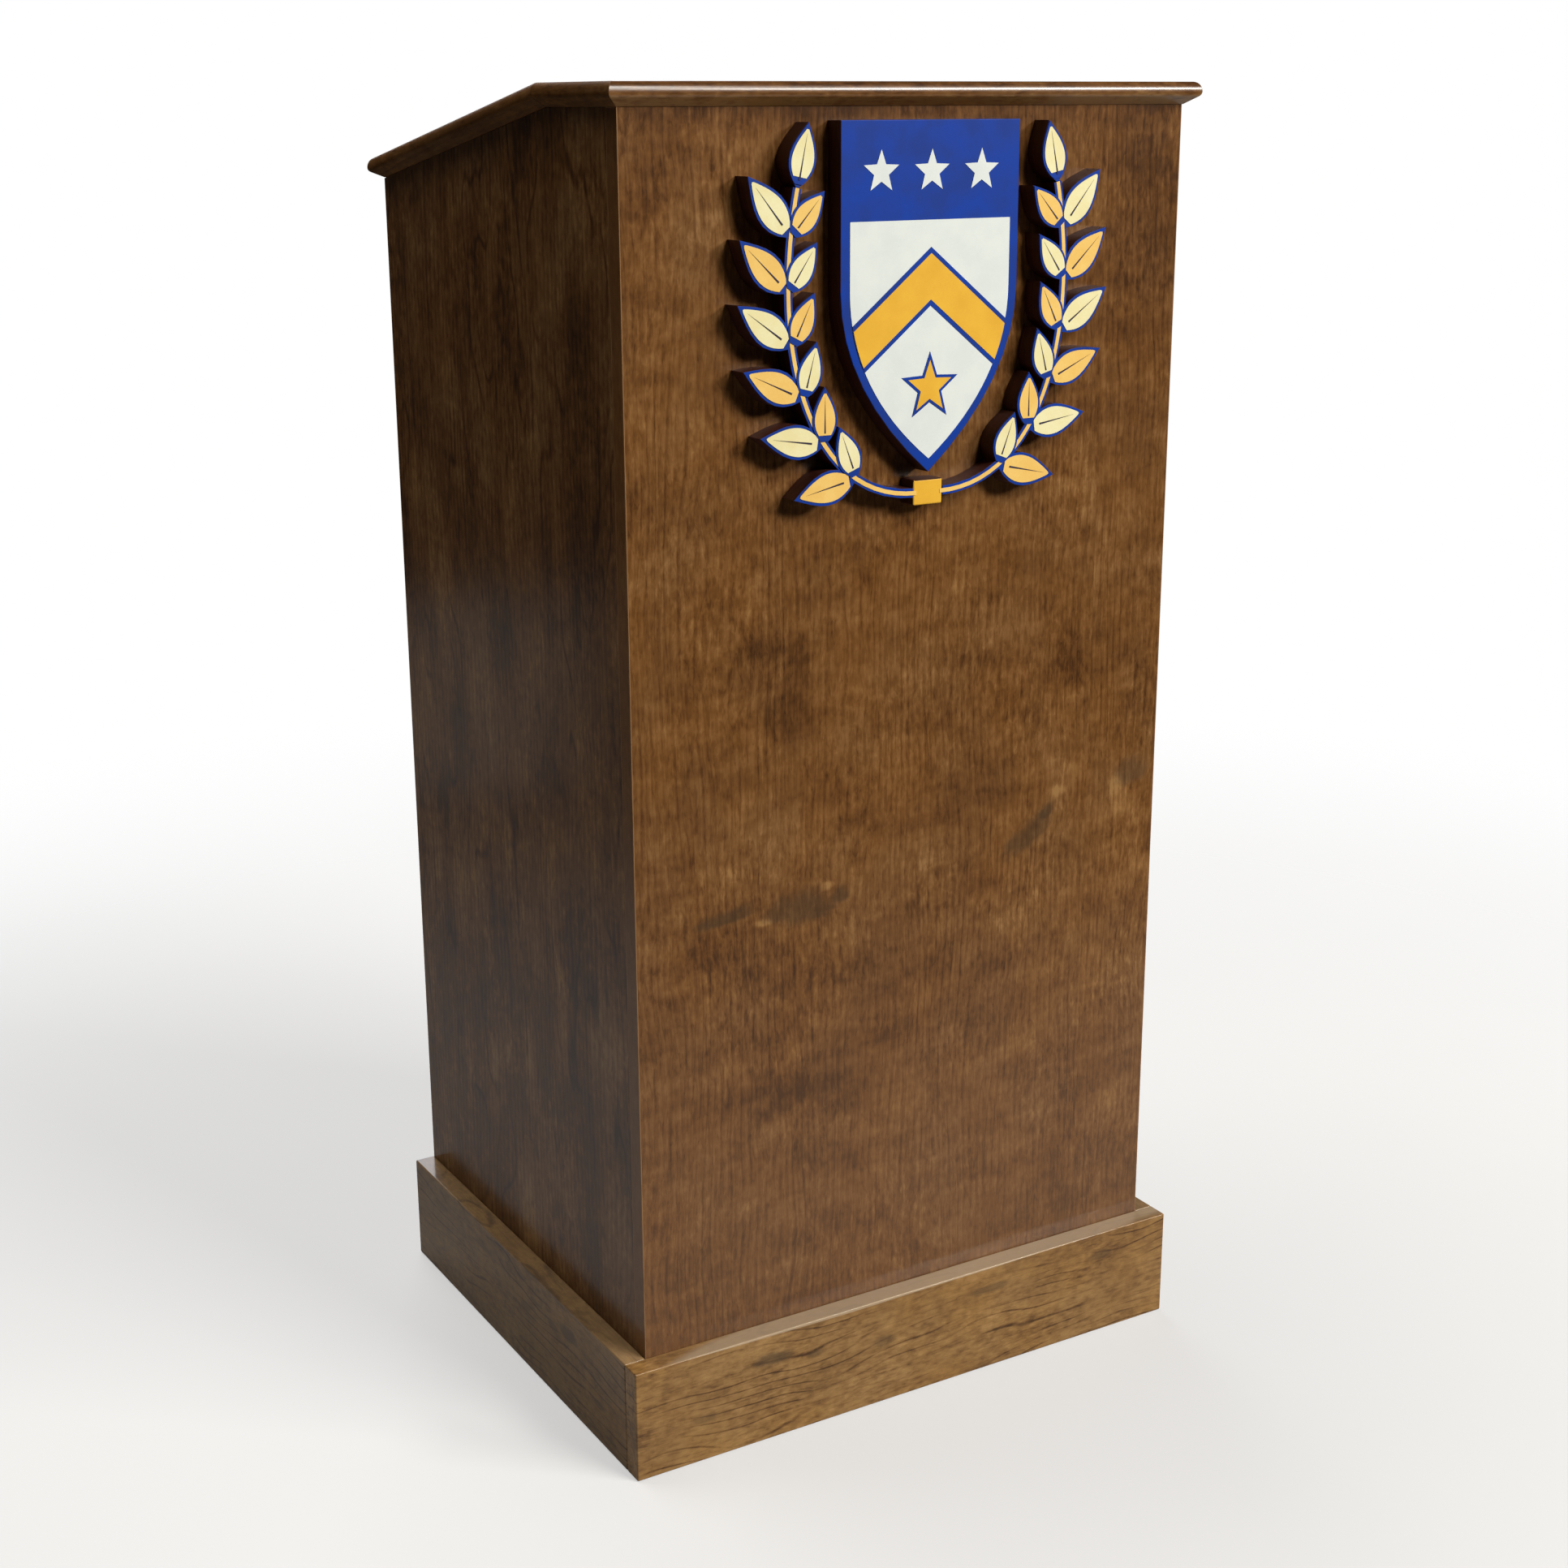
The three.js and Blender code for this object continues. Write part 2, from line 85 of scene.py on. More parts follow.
def add_camera():
    """The camera stands to the left of the front, at the height of the tops, and looks down."""
    bearing = math.radians(-30.72)
    pitch = math.radians(16.36)
    roll = math.radians(-0.24)
    place = Vector((-1.1163, -1.8952, 1.1884))
    forward = Vector((
        -math.sin(bearing) * math.cos(pitch),
        math.cos(bearing) * math.cos(pitch),
        -math.sin(pitch),
    ))
    level = Vector((math.cos(bearing), math.sin(bearing), 0))
    down = -level.cross(forward)
    right = math.cos(roll) * level - math.sin(roll) * down
    down = math.sin(roll) * level + math.cos(roll) * down
    turn = Matrix((right, -down, -forward)).transposed()
    data = bpy.data.cameras.new("camera")
    data.sensor_width = 36  # millimetres, like the lens
    data.lens = 53.17
    camera = bpy.data.objects.new("camera", data)
    camera.matrix_world = Matrix.Translation(place) @ turn.to_4x4()
    bpy.context.scene.collection.objects.link(camera)
    bpy.context.scene.camera = camera


def add_light(name, place, aim, size, power, colour):
    """A softbox of that width and height, which faces aim."""
    data = bpy.data.lights.new(name, "AREA")
    data.shape = "RECTANGLE"
    data.size, data.size_y = size
    data.energy = power
    data.color = colour[:3]
    light = bpy.data.objects.new(name, data)
    light.location = place
    light.rotation_mode = "QUATERNION"
    light.rotation_quaternion = (Vector(aim) - Vector(place)).to_track_quat("-Z", "Y")
    light.visible_camera = False
    bpy.context.scene.collection.objects.link(light)


def add_world():
    """White behind the object, with a dim light all round."""
    world = bpy.data.worlds.new("studio")
    world.use_nodes = True
    nodes, links = world.node_tree.nodes, world.node_tree.links
    nodes.clear()
    seen = nodes.new("ShaderNodeBackground")
    seen.inputs["Color"].default_value = (1, 1, 1, 1)
    around = nodes.new("ShaderNodeBackground")
    around.inputs["Color"].default_value = srgb(250, 248, 244)
    around.inputs["Strength"].default_value = 0.015
    path = nodes.new("ShaderNodeLightPath")
    mix = nodes.new("ShaderNodeMixShader")
    output = nodes.new("ShaderNodeOutputWorld")
    links.new(path.outputs["Is Camera Ray"], mix.inputs[0])
    links.new(around.outputs[0], mix.inputs[1])
    links.new(seen.outputs[0], mix.inputs[2])
    links.new(mix.outputs[0], output.inputs["Surface"])
    bpy.context.scene.world = world


def add_studio():
    """Most of the light comes from the right of the front. The left side gets only what the light
    above spills, and the soft reflection of a dim glow. The rear light shows the open back. Each
    light has its place from the lectern's middle, its width and height, and its power."""
    middle = (cad_box[0] + cad_box[1]) / 2
    warm = srgb(255, 251, 244)
    cool = srgb(240, 245, 255)
    add_world()
    for name, offset, size, power, colour in (
        ("key", (1.7, -4.8, 4.0), (1.7, 1.7), 232, warm),
        ("window", (3.4, -4.4, 2.5), (1.8, 0.8), 212, warm),
        ("top", (-0.8, 1.2, 3.3), (2.6, 2.6), 85, warm),
        ("glow", (-0.96, 1.68, -0.38), (0.34, 0.34), 0.11, warm),
        ("rear", (0.9, 3.6, 1.6), (1.8, 1.8), 40, cool),
    ):
        add_light(name, middle + Vector(offset), middle, size, power, colour)
    bpy.context.scene.view_settings.view_transform = "Standard"


def add_floor():
    """A pale floor, just under the lectern, that fades out towards its rim."""
    radius = 2.6
    fade_start, fade_end = 0.3 * radius, 0.96 * radius
    opacity = 0.55
    mesh = bpy.data.meshes.new("floor")
    shape = bmesh.new()
    bmesh.ops.create_circle(shape, cap_ends=True, segments=128, radius=radius)
    shape.to_mesh(mesh)
    shape.free()
    floor = bpy.data.objects.new("floor", mesh)
    floor.location.z = cad_box[0].z - 0.5 * MM
    bpy.context.scene.collection.objects.link(floor)
    shader = Shader("pale floor")
    cloud = shader.noise(shader.place(), 3, detail=3)
    distance = shader.length(shader.place())
    shader.set(
        Base_Color=shader.mix(cloud, srgb(226, 226, 226), srgb(231, 231, 231)),
        Roughness=0.85,
        Alpha=shader.fade(distance, fade_start, fade_end, opacity, 0.0),
    )
    floor.data.materials.append(shader.material)


# Materials ---------------------------------------------------------------------------------------

# A Mix node has sockets of one name for each kind of data. These are the colour ones
MIX_FIRST, MIX_SECOND, MIX_RESULT = 6, 7, 2


class Shader:
    """One material's nodes, with a short call for each kind that the finishes share."""

    def __init__(self, name):
        self.material = bpy.data.materials.new(name)
        self.material.use_nodes = True
        self.tree = self.material.node_tree
        self.tree.nodes.clear()
        self.surface = self.node("ShaderNodeBsdfPrincipled")
        output = self.node("ShaderNodeOutputMaterial")
        self.feed(output.inputs["Surface"], self.surface.outputs["BSDF"])

    def node(self, kind, **settings):
        made = self.tree.nodes.new(kind)
        for name, value in settings.items():
            setattr(made, name, value)
        return made

    def feed(self, socket, value):
        """Links an output to the socket, or sets the socket to a plain value."""
        if isinstance(value, bpy.types.NodeSocket):
            self.tree.links.new(value, socket)
        else:
            socket.default_value = value

    def set(self, **values):
        """Sets the Principled shader's sockets by their names, with _ for a space."""
        for name, value in values.items():
            self.feed(self.surface.inputs[name.replace("_", " ")], value)

    def place(self):
        """The point on the piece, in metres, in the piece's own frame."""
        return self.node("ShaderNodeTexCoord").outputs["Object"]

    def math(self, operation, *values):
        made = self.node("ShaderNodeMath", operation=operation)
        for socket, value in zip(made.inputs, values):
            self.feed(socket, value)
        return made.outputs[0]

    def total(self, *values):
        result = values[0]
        for value in values[1:]:
            result = self.math("ADD", result, value)
        return result

    def length(self, vector):
        made = self.node("ShaderNodeVectorMath", operation="LENGTH")
        self.feed(made.inputs[0], vector)
        return made.outputs["Value"]

    def split(self, vector):
        made = self.node("ShaderNodeSeparateXYZ")
        self.feed(made.inputs[0], vector)
        return list(made.outputs)

    def join(self, x, y, z):
        made = self.node("ShaderNodeCombineXYZ")
        for socket, value in zip(made.inputs, (x, y, z)):
            self.feed(socket, value)
        return made.outputs[0]

    def noise(self, vector, scale, detail=2.0, roughness=0.5):
        made = self.node("ShaderNodeTexNoise")
        self.feed(made.inputs["Vector"], vector)
        made.inputs["Scale"].default_value = scale
        made.inputs["Detail"].default_value = detail
        made.inputs["Roughness"].default_value = roughness
        return made.outputs["Fac"]

    def fade(self, value, low, high, out_low=0.0, out_high=1.0):
        """A smooth step from out_low, where value is low, to out_high, where it is high. Low may be
        the larger of the two."""
        made = self.node("ShaderNodeMapRange", interpolation_type="SMOOTHSTEP", clamp=True)
        if low > high:
            low, high, out_low, out_high = high, low, out_high, out_low
        for socket, number in zip(made.inputs, (value, low, high, out_low, out_high)):
            self.feed(socket, number)
        return made.outputs[0]

    def mix(self, factor, first, second, blend="MIX"):
        made = self.node("ShaderNodeMix", data_type="RGBA", blend_type=blend)
        self.feed(made.inputs["Factor"], factor)
        self.feed(made.inputs[MIX_FIRST], first)
        self.feed(made.inputs[MIX_SECOND], second)
        return made.outputs[MIX_RESULT]

    def ramp(self, value, *stops):
        """A colour ramp through (place, colour) stops."""
        made = self.node("ShaderNodeValToRGB")
        self.feed(made.inputs[0], value)
        elements = made.color_ramp.elements
        while len(elements) < len(stops):
            elements.new(0.5)
        for element, (place, colour) in zip(elements, stops):
            element.position = place
            element.color = colour
        return made.outputs["Color"]

    def bump(self, height, depth, strength):
        made = self.node("ShaderNodeBump")
        made.inputs["Strength"].default_value = strength
        made.inputs["Distance"].default_value = depth
        self.feed(made.inputs["Height"], height)
        return made.outputs["Normal"]


def edge_distance(shader, box):
    """How far a point on a board's surface is from the nearest edge of the board's box: the middle
    one of its distances from the box's faces along x, y and z."""
    low, high = box
    parts = shader.split(shader.place())
    gaps = []
    for part, a, b in zip(parts, low, high):
        gaps.append(shader.math("ABSOLUTE", shader.math(
            "MINIMUM", shader.math("SUBTRACT", part, a), shader.math("SUBTRACT", b, part)
        )))
    nearer = shader.math("MINIMUM", gaps[0], gaps[1])
    farther = shader.math("MAXIMUM", gaps[0], gaps[1])
    return shader.math("MAXIMUM", nearer, shader.math("MINIMUM", farther, gaps[2]))


# The coordinates across the grain, through the board and along the grain, by the grain's axis
GRAIN_ORDER = {"x": (1, 2, 0), "y": (0, 2, 1), "z": (0, 1, 2)}


class Wood(Shader):
    """Stained timber or veneer. Its grain runs along one axis, or along the desk's slope where tilt
    is given. Layers of figure add up to a tone around 0.5, which a ramp of the wood's own colours
    turns into the base colour. Stains lie over that. The seed sets a board apart from others."""

    RAGGEDNESS = 1.5  # of the patches' rims

    def __init__(self, name, grain, tilt=0.0, seed=0.0):
        super().__init__(name)
        place = self.place()
        if tilt:
            turn = self.node("ShaderNodeVectorRotate", rotation_type="X_AXIS")
            turn.inputs["Angle"].default_value = tilt
            self.feed(turn.inputs["Vector"], place)
            place = turn.outputs[0]
        parts = self.split(place)
        self.across, self.deep, self.along = (parts[i] for i in GRAIN_ORDER[grain])
        self.seed = seed
        self.tone = 0.5
        self.stains = []

    def grained(self, scale, stretch, shift=0.0, detail=2.0, roughness=0.5):
        """Noise of about scale spots a metre across the grain, drawn out along it by stretch. The
        shift sets one layer apart from the others."""
        vector = self.join(
            self.math("ADD", self.across, self.seed + shift),
            self.deep,
            self.math("DIVIDE", self.along, stretch),
        )
        return self.noise(vector, scale, detail, roughness)

    def wander(self, scale, amount, stretch=5):
        """Bends the grain sideways by about amount."""
        push = self.math("SUBTRACT", self.grained(scale, stretch, 7.3), 0.5)
        self.across = self.math("ADD", self.across, self.math("MULTIPLY", push, 3 * amount))

    def add_tone(self, value, amount, level=0.5):
        """Makes the wood lighter where value is over level and darker where it's under."""
        share = self.math("MULTIPLY", self.math("SUBTRACT", value, level), amount)
        self.tone = self.math("ADD", self.tone, share)

    def contrast(self, gain):
        """Spreads the tones away from the middle one."""
        self.tone = self.math("MULTIPLY_ADD", self.math("SUBTRACT", self.tone, 0.5), gain, 0.5)

    def threads(self, scale, stretch, width, shift):
        """Thin wavy lines along the grain, 1 in their middle."""
        field = self.grained(scale, stretch, shift, detail=1.0)
        return self.line(field, width)

    def line(self, value, width):
        """1 where value is 0.5, and 0 where it is off by width or more."""
        return self.fade(self.math("ABSOLUTE", self.math("SUBTRACT", value, 0.5)), 0.0, width, 1.0, 0.0)

    def contours(self, period, wave, scale, stretch):
        """Goes from 0 to 1 between one growth line and the next, a period on. Noise of that scale
        and stretch bends the lines by up to wave periods."""
        field = self.math("MULTIPLY", self.grained(scale, stretch, 3.1, detail=1.5), wave)
        return self.math("FRACT", self.math("ADD", self.math("DIVIDE", self.across, period), field))

    def rings(self, **contours):
        """Growth rings, which get lighter slowly and dark again at once."""
        phase = self.contours(**contours)
        return self.math("SUBTRACT", self.fade(phase, 0.0, 0.75), self.fade(phase, 0.8, 1.0))

    def dark_lines(self, amount, width, **contours):
        """Thin dark growth lines, which come and go. Their width is a share of the period."""
        line = self.line(self.contours(**contours), width)
        share = self.fade(self.grained(26, 3, 27.0), 0.4, 0.6, 0.1, 1.0)
        self.add_tone(self.math("MULTIPLY", line, share), -amount, level=0.0)

    def patch(self, centre, half_across, half_along, lean=0.0):
        """How far a point is from the centre (across, along) of a ragged patch: 1 at its rim. It
        also returns how far above the centre the point is, with 1 at the top. A lean above 0 tips
        the patch to the right."""
        x = self.math("SUBTRACT", self.across, centre[0])
        z = self.math("SUBTRACT", self.along, centre[1])
        x = self.math("SUBTRACT", x, self.math("MULTIPLY", z, lean))
        x = self.math("DIVIDE", x, half_across)
        z = self.math("DIVIDE", z, half_along)
        reach = self.length(self.join(x, z, 0.0))
        rough = self.math("MULTIPLY", self.math("SUBTRACT", self.rag, 0.5), self.RAGGEDNESS)
        return self.math("ADD", reach, rough), z

    def shade(self, centre, half_across, half_along, amount):
        """A soft patch; amount is below 0 for a dark one."""
        reach, _ = self.patch(centre, half_across, half_along)
        self.add_tone(self.fade(reach, 1.2, 0.2), amount, level=0.0)

    def smear(self, centre, half_across, half_along, colour, strength):
        """A stained patch with a soft rim."""
        reach, _ = self.patch(centre, half_across, half_along)
        self.stains.append((self.fade(reach, 1.1, 0.4, 0.0, strength), colour))

    def knot(self, centre, half_across, half_along, colour, strength, lean):
        """A stained patch that fades out upwards and stops short below."""
        reach, above = self.patch(centre, half_across, half_along, lean)
        soft = self.fade(reach, 1.1, 0.1, 0.0, strength)
        crisp = self.fade(reach, 1.2, 0.7, 0.0, strength)
        step = self.math("SUBTRACT", crisp, soft)
        inside = self.math("MULTIPLY_ADD", self.fade(above, 0.3, -0.5), step, soft)
        self.stains.append((inside, colour))

    def pale_edges(self, box, colour, width):
        """A paler colour along the edges of the board's box, in an uneven line."""
        rough = self.math("MULTIPLY", self.math("SUBTRACT", self.rag, 0.5), 2 * width)
        distance = self.math("ADD", edge_distance(self, box), rough)
        self.stains.append((self.fade(distance, width, 0.3 * width), colour))

    def figure(self, fibre=0.9, fleck=0.35, thread=0.1, mottle=0.5, cloud=0.6):
        """The layers that all these woods share. It keeps the streaks and fibres for the bump, and
        a ragged noise for the patches' rims."""
        self.streaks = self.grained(210, 3.0, 1.0, detail=2.5, roughness=0.55)
        self.fibres = self.grained(600, 40, 2.0)
        self.rag = self.grained(34, 1.1, 6.0, detail=4, roughness=0.6)
        lively = self.fade(self.grained(15, 1.6, 30.0), 0.35, 0.65, 0.45, 1.3)
        self.add_tone(self.streaks, self.math("MULTIPLY", lively, fibre))
        self.add_tone(self.fibres, 0.25 * fibre)
        self.add_tone(self.grained(150, 1.3, 5.0), fleck)
        pale = self.math("MULTIPLY", lively, 0.7 * thread)
        self.add_tone(self.threads(150, 2.2, 0.06, 12.0), pale, level=0.25)
        self.add_tone(self.threads(260, 7.0, 0.05, 13.0), -1.3 * thread, level=0.25)
        self.add_tone(self.threads(110, 9.0, 0.035, 14.0), -1.1 * thread, level=0.2)
        self.add_tone(self.grained(60, 1.0, 4.0, detail=3, roughness=0.6), mottle)
        self.add_tone(self.grained(10, 1.1, 9.0, detail=3), cloud)

    def finish(self, tones, shade=1.0, roughness=(0.3, 0.38), gloss=0.1, coat=0.5,
               coat_roughness=0.12):
        """Colours the wood by its tone, stains and varnishes it, and returns the material."""
        last = len(tones) - 1
        stops = [(i / last, scaled(srgb(*tone), shade)) for i, tone in enumerate(tones)]
        colour = self.ramp(self.tone, *stops)
        warmth = self.fade(self.grained(13, 1.4, 17.0), 0.35, 0.65)
        tint = self.mix(warmth, (1.02, 1.0, 0.93, 1.0), (0.98, 1.0, 1.04, 1.0))
        colour = self.mix(1.0, colour, tint, blend="MULTIPLY")
        for inside, stain in self.stains:
            colour = self.mix(inside, colour, stain)
        grain = self.total(self.streaks, self.fibres)
        self.set(
            Base_Color=colour,
            Roughness=self.fade(self.streaks, 0.3, 0.7, *roughness),
            Normal=self.bump(grain, 0.05 * MM, 0.6),
            Specular_IOR_Level=gloss,
            Coat_Weight=coat,
            Coat_Roughness=coat_roughness,
        )
        return self.material


def scaled(colour, factor):
    return tuple(factor * part for part in colour[:3]) + (1.0,)


# The woods' colours from their darkest tone to their palest, as a colour picker shows them
PANEL = ((68, 42, 21), (91, 58, 28), (112, 74, 38), (130, 91, 52), (152, 113, 68))
PLINTH = ((76, 52, 30), (114, 82, 48), (144, 108, 64), (166, 128, 79), (188, 150, 101))
LIPPING = ((68, 44, 25), (98, 66, 39), (122, 86, 54), (148, 110, 74))
INSIDE = ((70, 45, 28), (100, 68, 43), (122, 86, 57), (142, 104, 72))
SOFTWOOD = ((150, 112, 70), (184, 146, 98), (206, 172, 124), (222, 194, 150))

# The veneers' soft patches: their place as shares of the board's width and height, their half
# width and half height in millimetres, and how much paler they are, or darker below 0
FRONT_SHADES = (
    (0.275, 0.582, 26, 62, -0.3),
    (0.235, 0.627, 46, 22, -0.26),
    (0.812, 0.585, 26, 34, -0.24),
    (0.664, 0.348, 36, 18, -0.2),
    (0.822, 0.144, 24, 54, -0.22),
    (0.25, 0.28, 80, 24, -0.2),
    (0.06, 0.955, 50, 30, -0.16),
    (0.13, 0.968, 26, 20, -0.12),
    (0.42, 0.63, 60, 40, -0.08),
    (0.93, 0.92, 60, 190, -0.26),
    (0.93, 0.60, 50, 120, -0.1),
    (0.04, 0.66, 24, 200, 0.04),
    (0.30, 0.80, 150, 170, -0.05),
    (0.72, 0.22, 100, 200, 0.06),
    (0.93, 0.35, 60, 300, 0.08),
    (0.222, 0.4205, 12, 5, 0.55),
    (0.342, 0.4400, 7, 5, 0.5),
    (0.795, 0.481, 13, 7, 0.45),
    (0.921, 0.476, 9, 13, 0.4),
    (0.756, 0.398, 4, 10, 0.45),
)
SIDE_SHADES = (
    (0.16, 0.645, 10, 34, -0.2),
    (0.27, 0.51, 13, 30, -0.16),
    (0.30, 0.59, 9, 22, -0.12),
    (0.14, 0.36, 8, 40, -0.2),
    (0.45, 0.72, 22, 60, 0.1),
)

# The front's knots: place and size as above, colour, strength and lean
KNOT_BROWN = srgb(66, 50, 33)
FRONT_KNOTS = (
    (0.165, 0.432, 28, 10, KNOT_BROWN, 0.7, 1.6),
    (0.288, 0.428, 38, 17, KNOT_BROWN, 0.6, 0.0),
    (0.366, 0.433, 10, 9, KNOT_BROWN, 0.6, 0.0),
    (0.752, 0.456, 20, 28, KNOT_BROWN, 0.6, 0.9),
    (0.778, 0.468, 9, 10, srgb(62, 48, 35), 0.55, 0.6),
    (0.955, 0.490, 22, 18, srgb(80, 61, 42), 0.6, 0.0),
)

# The plinth's smudges: place as shares of the length and height, half height and half length in
# millimetres, and strength
PLINTH_SMUDGES = (
    (0.24, 0.77, 8, 24, 0.7),
    (0.31, 0.70, 5, 12, 0.5),
    (0.44, 0.62, 7, 16, 0.4),
    (0.64, 0.80, 5, 30, 0.5),
    (0.87, 0.78, 6, 20, 0.4),
    (0.12, 0.40, 5, 18, 0.35),
)


def front_veneer(box):
    """The front panel's veneer, in two leaves with a joint near the right side: long growth lines
    under a mottle, with dark shades, small knots, a painted shadow under the nosing and a pale
    painted reflection of the floor low down."""
    joint_share = 0.857
    leaf_gap = 3.0  # how far apart the two leaves lie in the pattern of the figure
    low, high = box
    wide, tall = high.x - low.x, high.z - low.z
    wood = Wood("front veneer", "z")
    right_leaf = wood.math("GREATER_THAN", wood.across, low.x + joint_share * wide)
    wood.across = wood.math("ADD", wood.across, wood.math("MULTIPLY", right_leaf, leaf_gap))

    def spot(x, z):
        return (low.x + x * wide + (leaf_gap if x > joint_share else 0.0), low.z + z * tall)

    plain = wood.across
    wood.wander(11, 7 * MM, stretch=2.5)
    wood.wander(60, 0.9 * MM, stretch=2)
    wood.figure(fibre=0.65, fleck=0.42, mottle=0.4, cloud=0.4)
    wood.add_tone(wood.rings(period=7 * MM, wave=6.0, scale=9, stretch=5), 0.12)
    wood.dark_lines(0.18, width=0.16, period=10 * MM, wave=6.0, scale=12, stretch=5)
    wood.across = plain
    wood.add_tone(wood.grained(24, 0.45, 11.0, detail=2.5), 0.5)
    wood.add_tone(wood.grained(8, 0.4, 41.0, detail=2), 0.6)
    for x, z, across, along, amount in FRONT_SHADES:
        wood.shade(spot(x, z), across * MM, along * MM, amount)
    for x, z, across, along, *look in FRONT_KNOTS:
        wood.knot(spot(x, z), across * MM, along * MM, *look)
    # Painted shadow: the panel's top 28 mm, under the nosing, is darkened.
    wood.add_tone(wood.fade(wood.along, high.z - 28 * MM, high.z - 2 * MM), -0.2, level=0.0)
    wood.contrast(wood.fade(wood.along, low.z + 0.55 * tall, low.z + 0.2 * tall, 1.0, 1.15))
    # Painted reflection: a pale greyish tint low down stands in for the floor's sheen in the varnish.
    painted_floor_sheen = wood.fade(wood.along, low.z + 0.45 * tall, low.z + 0.12 * tall, 0.0, 0.3)
    wood.stains.append((painted_floor_sheen, srgb(122, 94, 74)))
    return wood.finish(PANEL, coat=0.35, coat_roughness=0.22)


def side_veneer(box, seed):
    """The sides: straighter and plainer, with dark flames in the front third."""
    low, high = box
    wood = Wood("side veneer", "z", seed=seed)
    wood.across, wood.deep = wood.deep, wood.across
    wood.wander(6, 7 * MM, stretch=4)
    wood.figure(fibre=0.6, fleck=0.35, thread=0.07, mottle=0.45, cloud=0.8)
    wood.dark_lines(0.3, width=0.1, period=30 * MM, wave=7.0, scale=14, stretch=4)
    wood.add_tone(wood.rings(period=8 * MM, wave=6.0, scale=7, stretch=5), 0.12)
    wood.add_tone(wood.grained(30, 4, 15.0, detail=3, roughness=0.6), 0.9)
    for y, z, across, along, amount in SIDE_SHADES:
        centre = (low.y + y * (high.y - low.y), low.z + z * (high.z - low.z))
        wood.shade(centre, across * MM, along * MM, amount)
    wood.contrast(1.4)
    return wood.finish(PANEL, shade=0.92, coat_roughness=0.2)


def band_veneer(box, seed):
    """The strips that cover the boards' edges, with a paler arris."""
    wood = Wood("edge band", "z", seed=seed)
    wood.figure(fibre=0.4, fleck=0.2, thread=0.06, mottle=0.3, cloud=0.3)
    wood.pale_edges(box, srgb(150, 112, 76), 1.5 * MM)
    return wood.finish(PANEL, shade=1.05, coat_roughness=0.15)


def long_wood(name, grain, tones, shade=1.0, seed=0.0, tilt=0.0):
    """Satin boards and strips with their grain along their length."""
    wood = Wood(name, grain, tilt=tilt, seed=seed)
    wood.wander(8, 4 * MM)
    wood.figure(fibre=0.7, mottle=0.35)
    wood.add_tone(wood.rings(period=8 * MM, wave=6.0, scale=9, stretch=5), 0.1)
    wood.dark_lines(0.16, width=0.15, period=12 * MM, wave=6.0, scale=12, stretch=5)
    satin = dict(roughness=(0.52, 0.62), gloss=0.03, coat=0.06, coat_roughness=0.42)
    return wood.finish(tones, shade, **satin)


def front_nosing_timber(box):
    """The front nosing has more varnish on it than the boards. Its lower rim is painted paler, as
    painted light bounced up from the floor, and its top darker, as painted shade."""
    low, high = box
    wood = Wood("front nosing", "x")
    height = wood.deep
    wood.wander(8, 4 * MM)
    wood.figure(mottle=0.6)
    wood.dark_lines(0.15, width=0.14, period=9 * MM, wave=5.0, scale=12, stretch=5)
    # Painted light: the lower rim is made paler, for the floor's bounce.
    wood.add_tone(wood.fade(height, low.z + 11 * MM, low.z + 5 * MM), 0.5, level=0.0)
    # Painted shade: the top is made darker.
    wood.add_tone(wood.fade(height, high.z - 6 * MM, high.z - 2 * MM), -0.2, level=0.0)
    return wood.finish(PANEL, shade=0.92, coat=1.0, coat_roughness=0.22)


def plinth_timber(name, grain, box, seed):
    """The plinth's coarser timber: wavy dark lines along the boards, a few grey smudges and dust
    along the top. The side boards take a darker copy of the colours, as painted shade, and less
    dust than the front one."""
    low, high = box
    if grain == "x":
        start, end, shade, dusty = low.x, high.x, 1.0, 0.75
    else:
        # Painted shade: the side boards' colours are scaled down to 0.78.
        start, end, shade, dusty = low.y, high.y, 0.78, 0.2
    wood = Wood(name, grain, seed=seed)
    wood.across, wood.deep = wood.deep, wood.across
    wood.wander(9, 5 * MM, stretch=4)
    wood.figure(fibre=0.7, thread=0.08, mottle=0.4, cloud=0.4)
    wood.dark_lines(0.42, width=0.12, period=11 * MM, wave=5.0, scale=20, stretch=3.5)
    wood.add_tone(wood.grained(28, 4, 23.0, detail=3, roughness=0.6), 0.7)
    for share, height, across, along, strength in PLINTH_SMUDGES:
        centre = (low.z + height * (high.z - low.z), start + share * (end - start))
        wood.smear(centre, across * MM, along * MM, srgb(78, 62, 44), strength)
    dust = wood.fade(wood.across, high.z - 1.4 * MM, high.z - 0.4 * MM, 0.0, dusty)
    wood.stains.append((dust, srgb(186, 164, 136)))
    return wood.finish(PLINTH, shade)


def paint(name, colour, second=None):
    """Satin enamel, brushed on: a little uneven in colour and gloss. Where no second colour is
    given, it's a darker shade of the first."""
    shader = Shader(name)
    place = shader.place()
    cloud = shader.noise(place, 45, detail=3)
    speck = shader.noise(place, 900, detail=2)
    amount = shader.fade(shader.total(cloud, shader.math("MULTIPLY", speck, 0.4)), 0.45, 0.95)
    shader.set(
        Base_Color=shader.mix(amount, colour, second or scaled(colour, 0.86)),
        Roughness=shader.fade(cloud, 0.3, 0.7, 0.42, 0.52),
        Normal=shader.bump(speck, 0.03 * MM, 0.4),
        Specular_IOR_Level=0.2,
    )
    return shader.material


